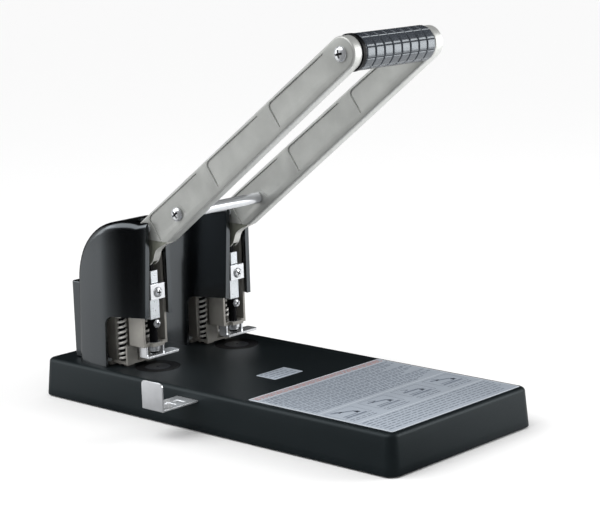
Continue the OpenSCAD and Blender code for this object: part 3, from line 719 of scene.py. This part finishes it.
def lever(side):
    """The forged lever between an arm and its link: a hooked nose, slotted below for the link."""
    x, half, slot_half = SIDES[side] * HEAD_X, 3.2, 1.75
    outline = [(59.8, 119.4), (62, 123.6), arm_point(200, 2), arm_point(212, -9), arm_point(238, -13),
               (105.1, 114.7), (105.6, 108.0)]
    outline += arc(FULCRUM, 8.5, 20, -100, 8)
    outline += arc(LINK_TOP, 6.5, -70, -135, 5)
    outline += [(75.2, 105.0), (73.9, 107.6), (73.0, 110.4), (71.6, 112.9), (69.0, 115.0), (65.0, 117.2)]
    slot = prism([(75.9, 104.6), (77.4, 108), (78.4, 112.5), (80.5, 115.6), (88, 115.6), (90, 95),
                  (68, 95)], x - slot_half, x + slot_half)
    bore = prism(disc(LINK_TOP, 2.0, 24), x - 5, x + 5)
    bm = carve(prism(outline, x - half, x + half), [slot, bore])
    return soften(piece("lever_forging_" + side, bm, node="lever_" + side), 0.55, 3)


def link(side):
    """A blackened link with a bright flat strap on the front of its shank."""
    x = SIDES[side] * HEAD_X
    shank = piece("link_part_" + side, cad_copy("link_" + side), node="link_" + side, slot="black_oxide")
    soften(shank, 0.3)
    strap = box((x - 3.6, 77.6, 88.5), (x + 3.0, 79.6, 97.4))
    return soften(piece("link_strap_" + side, strap, node="link_" + side), 0.3)


def round_grip(x, radius, angles):
    """A ring of points round the grip's axis."""
    return [(x, GRIP_AXIS[0] + radius * math.cos(a), GRIP_AXIS[1] + radius * math.sin(a)) for a in angles]


def grip_sleeve():
    """A grip of domed tiles, eight along it and ten round it, with a plain black collar."""
    x0, x1, collar, cells, around = -36.4, 35.6, 4.0, 8, 10
    radius, bore, deep, groove_part = 12.0, 5.0, 0.95, 0.085
    twist = math.radians(18)  # turns the tiles round the grip
    pitch = (x1 - x0 - collar) / cells

    def height(t):
        """0 in a groove and 1 on a tile, for t in tiles from a groove's middle."""
        d = min(t % 1.0, 1.0 - t % 1.0) / groove_part
        return min(1.0, max(0.0, d)) ** 0.6
    xs = [x0, x0 + 0.35, x0 + collar - 0.6, x0 + collar - 0.25, x0 + collar]
    for cell in range(cells):
        for mark in (0.02, 0.05, 0.085, 0.15, 0.3, 0.5, 0.7, 0.85, 0.915, 0.95, 0.98, 1.0):
            xs.append(x0 + collar + (cell + mark) * pitch)
    steps = [(k + mark) / around for k in range(around)
             for mark in (0.0, 0.03, 0.06, 0.1, 0.25, 0.5, 0.75, 0.9, 0.94, 0.97)]
    turns = [2 * math.pi * s for s in steps]
    rings = [round_grip(x0, bore, turns)]
    for x in xs:
        ring = []
        for s, turn in zip(steps, turns):
            if x <= x0 + collar - 0.55:
                r = radius - (0.35 if x == x0 else 0.0)
            elif x == xs[-1]:
                r = radius - deep
            else:
                t = s * around % 1.0 - 0.5
                flat = math.cos(math.pi / around) / math.cos(2 * math.pi * t / around)
                tile = min(height((x - x0 - collar) / pitch), height(s * around))
                r = radius * (0.35 + 0.65 * flat) - deep * (1 - tile)
            ring += round_grip(x, r, [turn + twist])
        rings.append(ring)
    rings.append(round_grip(x1, bore, turns))
    band = ((x0 - 0.1, 11.9), (x0 + 0.15, 12.15), (x0 + collar - 0.9, 12.15), (x0 + collar - 0.65, 11.9))
    facets = [math.radians(a) for a in range(0, 360, 6)]
    piece("grip_collar", loft([round_grip(x, r, facets) for x, r in band]), node="grip_sleeve",
          look="collar_rubber", sharp=30)
    return piece("grip_tiles", loft(rings, cap=False), node="grip_sleeve", sharp=50)


# ---------------------------------------------------------------- screws and springs

def cross_screw(radius, height, slot_deep):
    """A domed screw head on z = 0 with a tapered cross recess, and a dark cross in the recess's floor that
    paints its shade.
    """
    rim = 0.18  # the part of the height that is upright
    dome = [(0.01, 0), (radius * 0.96, 0), (radius, height * rim)]
    for i in range(1, 8):
        a = math.radians(90 * i / 7)
        dome.append((max(radius * math.cos(a), 0.01), height * (rim + (1 - rim) * math.sin(a))))
    long, wide = radius * 0.72, radius * 0.16  # half sizes of a blade of the cross
    top, low = (long, wide, height + 0.5), (long * 0.45, wide * 0.8, height - slot_deep)
    blades = []
    for swap in (False, True):
        rings = []
        for a, b, z in (top, low):
            corners = [(-a, -b), (a, -b), (a, b), (-a, b)]
            rings.append([(-v, u, z) if swap else (u, v, z) for u, v in corners])
        blades.append(loft(rings))
    a, b = long * 0.76, wide * 0.95
    cross = [(-a, -b), (-b, -b), (-b, -a), (b, -a), (b, -b), (a, -b),
             (a, b), (b, b), (b, a), (-b, a), (-b, b), (-a, b)]
    # painted shade: a dark cross set into the recess's floor
    floor = prism(cross, height - slot_deep - 0.05, height - slot_deep * 0.5, axis="z")
    return carve(lathe(dome, 28), blades), floor


def placed(point, direction, twist):
    """Where a screw stands and which way its head looks."""
    turn = Vector(direction).to_track_quat("Z", "Y").to_matrix().to_4x4()
    return Matrix.Translation(Vector(point)) @ turn @ Matrix.Rotation(math.radians(twist), 4, "Z")


def screw_set(name, node, members):
    """One piece of screw heads and one of dark crosses that paint the shade in their recesses."""
    heads, painted_recess_shades = bmesh.new(), bmesh.new()
    for (head, floor), place in members:
        join(heads, head, place)
        join(painted_recess_shades, floor, place)
    piece(name, heads, node=node, sharp=35)
    # painted shade: the dark crosses in the screws' recesses
    piece(name + "_painted_recess_shade", painted_recess_shades, node=node, slot="black_oxide", sharp=35)


def screws():
    """Every screw that shows. The last number of each place turns its cross."""
    big = cross_screw(5.0, 2.8, 2.55)
    small = cross_screw(2.9, 1.5, 1.35)
    block = cross_screw(3.7, 1.7, 1.55)
    chuck = cross_screw(3.1, 1.7, 1.5)
    near_web, far_web = -HEAD_X + ARM_WEB_X, HEAD_X + ARM_WEB_X + ARM_SHEET
    screw_set("arm_screw_set", "arm_screws", [
        (big, placed((near_web, *GRIP_AXIS), (-1, 0, 0), 12)),
        (big, placed((far_web, *GRIP_AXIS), (1, 0, 0), 50)),
        (big, placed((near_web, *TIE_AXIS), (-1, 0, 0), 38)),
        (big, placed((far_web, *TIE_AXIS), (1, 0, 0), 5))])
    screw_set("frame_screw_set", "frame_screws", [
        (small, placed((s * HEAD_X + x, 114.5, TOP_Z + 2), (0, 0, 1), turn))
        for s in SIDES.values() for x, turn in ((-14.5, 20), (14.5, 51))])
    for side, s in SIDES.items():
        screw_set("carriage_screw_set_" + side, "carriage_screws_" + side, [
            (block, placed((s * HEAD_X, 74.95, 82.3), (0, -1, 0), 24 + 30 * s)),
            (chuck, placed((s * HEAD_X, PUNCH_Y - 4.0, 59.2), (0, -1, 0), 8 + 20 * s))])
    for bm in big + small + block + chuck:
        bm.free()


def coil(centre, z0, z1, radius, wire, turns, steps=18, around=8):
    """A compression spring with closed ends. wire is the wire's radius."""
    rings = []
    closed = 0.9  # turns of each end that lie flat
    sides = [2 * math.pi * k / around for k in range(around)]
    for i in range(int(turns * steps) + 1):
        t = i / steps
        body = min(max((t - closed) / (turns - 2 * closed), 0.0), 1.0)
        ends = min(t, closed) + max(0.0, t - (turns - closed))
        z = z0 + wire + ends * 2 * wire + body * (z1 - z0 - 2 * wire - closed * 4 * wire)
        out = Vector((math.cos(2 * math.pi * t), math.sin(2 * math.pi * t), 0))
        middle = Vector((*centre, z)) + out * (radius - wire)
        rings.append([tuple(middle + wire * (out * math.cos(a) + Vector((0, 0, math.sin(a)))))
                      for a in sides])
    return loft(rings)


def return_springs(side):
    """The two springs of a head, which shorten as its punch goes down."""
    head_x = SIDES[side] * HEAD_X
    group = bmesh.new()
    for x in (-SPRING_X, SPRING_X):
        one = coil((head_x + x, SPRING_Y), *SPRING_Z, 3.5, 0.98, 11.5)
        join(group, one)
        one.free()
    made = piece("return_coils_" + side, group, node="return_springs_" + side, sharp=60)
    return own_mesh(made)


# ---------------------------------------------------------------- build

base_housing()
label_sheet("label_sheet_large", "instruction_label", (132.9, 124.4), (0.45, -98.0), 1.2)
label_sheet("label_sheet_small", "note_label", (28.6, 18.3), (-3.6, -6.0), 0.8)
label_print()
for side in SIDES:
    cover(side)
    arm(side)
    lever(side)
    link(side)
    return_springs(side)
grip_sleeve()
screws()

# CAD nodes whose shape is right, by name or by the name's stem, and how far their edges are rounded
ROUNDING = {
    "base_pan": 0.4, "rubber_feet": 0.35, "gauge_channel": 0.3, "paper_gauge": 0.35, "grip_rod": 0.3,
    "tie_rod": 0.3, "lever_rivets": 0.3, "head_frame": 0.4, "paper_stop": 0.3, "spring_pins": 0.4,
    "punch_bush": 0.3, "stripper": 0.3, "disc_seat": 0.15, "cutting_disc": 0.15, "rear_cap": 1.2,
    "fulcrum_pin": 0.4, "link_pin": 0.2, "clevis_block": 0.45, "clevis_pin": 0.2, "spring_yoke": 0.3,
    "slide_bar": 0.35, "punch_chuck": 0.35, "hollow_punch": 0.1}
for stem, width in ROUNDING.items():
    for node in ([stem] if stem in frame["nodes"] else [stem + "_left", stem + "_right"]):
        rounded_node(node, width)


# ---------------------------------------------------------------- studio

BRIGHT_SIDE = (-0.55, 0.835, 0)  # glossy parts see a bright wall here, behind the part on its left


def facing(n, direction, towards, start, end, low, high):
    """Maps how far a direction looks towards a place in the studio."""
    match = n.add("ShaderNodeVectorMath", {0: direction, 1: towards}, operation="DOT_PRODUCT")
    return spread(n, match.outputs["Value"], low, high, start, end)


def studio_floor():
    """A plain pale floor. Glossy parts see it dark, but for two pale patches beside the part."""
    mesh = bpy.data.meshes.new("floor")
    size = 20.0
    corners = [(-size, -size, 0), (size, -size, 0), (size, size, 0), (-size, size, 0)]
    mesh.from_pydata(corners, [], [(0, 1, 2, 3)])
    floor = bpy.data.objects.new("floor", mesh)
    bpy.context.scene.collection.objects.link(floor)
    made = bpy.data.materials.new("floor_white")
    made.use_nodes = True
    n = Nodes(made.node_tree)
    place = n.add("ShaderNodeTexCoord").outputs["Object"]
    distance = n.add("ShaderNodeVectorMath", {0: place}, operation="LENGTH").outputs["Value"]
    bearing = n.add("ShaderNodeVectorMath", {0: place}, operation="NORMALIZE").outputs["Vector"]
    away = spread(n, distance, 0.0, 1.0, 0.13, 0.26)
    below_wall = facing(n, bearing, BRIGHT_SIDE, 0.72, 0.98, 0.0, 0.68)
    rear_left = n.add("ShaderNodeMath", {0: below_wall, 1: away}, operation="MULTIPLY").outputs["Value"]
    right = facing(n, bearing, (0.97, -0.25, 0), 0.0, 0.8, 0.0, 0.8)
    both = n.add("ShaderNodeMath", {0: right, 1: rear_left}, operation="ADD").outputs["Value"]
    mirror = n.add("ShaderNodeCombineColor", {"Red": both, "Green": both, "Blue": both}).outputs["Color"]
    mirrored = n.add("ShaderNodeLightPath").outputs["Is Glossy Ray"]
    shade = blend(n, mirrored, (0.95, 0.95, 0.95), mirror)
    matt = n.add("ShaderNodeBsdfDiffuse", {"Color": shade})
    n.add("ShaderNodeOutputMaterial", {"Surface": matt.outputs["BSDF"]})
    mesh.materials.append(made)


def area_light(name, place, aim, size, power):
    data = bpy.data.lights.new(name, "AREA")
    data.shape = "RECTANGLE"
    data.size, data.size_y = size
    data.energy = power
    lamp = bpy.data.objects.new(name, data)
    lamp.location = place
    lamp.rotation_mode = "QUATERNION"
    lamp.rotation_quaternion = (Vector(aim) - Vector(place)).to_track_quat("-Z", "Y")
    lamp.visible_camera = False
    bpy.context.scene.collection.objects.link(lamp)


def sun_light(towards, power, width):
    """A soft sun. width is its angle across, in degrees."""
    data = bpy.data.lights.new("key", "SUN")
    data.energy = power
    data.angle = math.radians(width)
    lamp = bpy.data.objects.new("key", data)
    lamp.rotation_mode = "QUATERNION"
    lamp.rotation_quaternion = (-Vector(towards)).to_track_quat("-Z", "Y")
    bpy.context.scene.collection.objects.link(lamp)


def world_light():
    """A white room. Glossy parts see a dark studio with one bright wall instead, so that black stays deep."""
    world = bpy.data.worlds.new("studio")
    bpy.context.scene.world = world
    world.use_nodes = True
    n = Nodes(world.node_tree)
    direction = n.add("ShaderNodeTexCoord").outputs["Generated"]
    level = facing(n, direction, BRIGHT_SIDE, 0.68, 0.98, 0.004, 0.75)
    mirrored = n.add("ShaderNodeLightPath").outputs["Is Glossy Ray"]
    # a float Mix node's two values are at sockets 2 and 3
    strength = n.add("ShaderNodeMix", {"Factor": mirrored, 2: 0.62, 3: level}, data_type="FLOAT")
    shade = n.add("ShaderNodeBackground", {"Color": (1, 1, 1, 1), "Strength": strength.outputs[0]})
    n.add("ShaderNodeOutputWorld", {"Surface": shade.outputs["Background"]})


CAMERA_AT = (-933.26, -894.11, 368.05)
CAMERA_ROWS = ((0.676470, -0.735836, -0.030566), (-0.164838, -0.110827, -0.980074),
               (0.717786, 0.668029, -0.196265))  # right, down and forward


def photo_camera():
    data = bpy.data.cameras.new("photo_view")
    data.sensor_width = 36.0
    data.lens = 114.606
    data.clip_start, data.clip_end = 0.05, 50.0
    camera = bpy.data.objects.new("photo_view", data)
    right, down, forward = (Vector(row) for row in CAMERA_ROWS)
    turn = Matrix((right, -down, -forward)).transposed()
    camera.matrix_world = Matrix.Translation(Vector(CAMERA_AT) * MM) @ turn.to_4x4()
    bpy.context.scene.collection.objects.link(camera)
    bpy.context.scene.camera = camera


studio_floor()
world_light()
area_light("rear_left", (-0.62, 0.78, 0.5), (-0.05, 0.05, 0.12), (0.4, 0.8), 2)
area_light("front_right", (0.6, -0.65, 0.38), (0, 0, 0.1), (0.5, 0.6), 4)
sun_light((-0.55, 0.30, 0.85), 1.5, 55)
photo_camera()
bpy.context.scene.view_settings.view_transform = "Standard"  # plain colours
